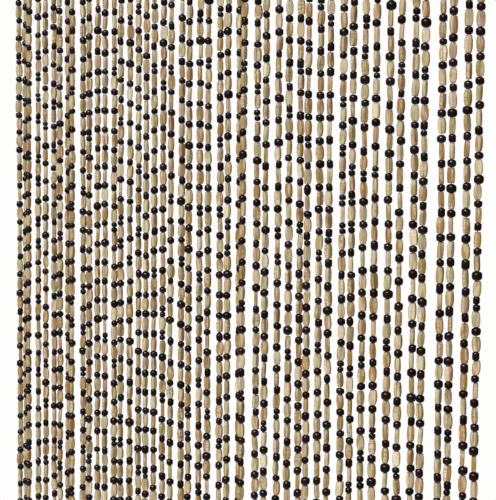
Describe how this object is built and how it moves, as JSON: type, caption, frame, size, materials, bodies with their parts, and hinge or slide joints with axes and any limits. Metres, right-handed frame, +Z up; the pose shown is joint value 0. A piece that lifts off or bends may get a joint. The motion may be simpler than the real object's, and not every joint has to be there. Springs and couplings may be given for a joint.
{
  "type": "bead curtain",
  "caption": "Hanging door curtain of strung wooden beads: pairs of strands, light flat beads between dark round ones, on a narrow heading strip.",
  "frame": {"origin": "middle of the heading strip's top edge, where the curtain is held up", "axes": "+X along the curtain's width, +Y towards its back, +Z up; the front faces -Y and the strands hang towards -Z"},
  "size_m": [0.9, 0.0142, 2],
  "materials": {
    "light_bead_wood": "satin varnish, cream to tan and yellow-green, with grain",
    "dark_bead_wood": "near-black gloss lacquer",
    "string": "matt twisted thread",
    "heading_wood": "satin varnish with grain"
  },
  "bodies": {
    "root": {"heading_with_strands": "light_bead_wood"}
  },
  "joints": []
}
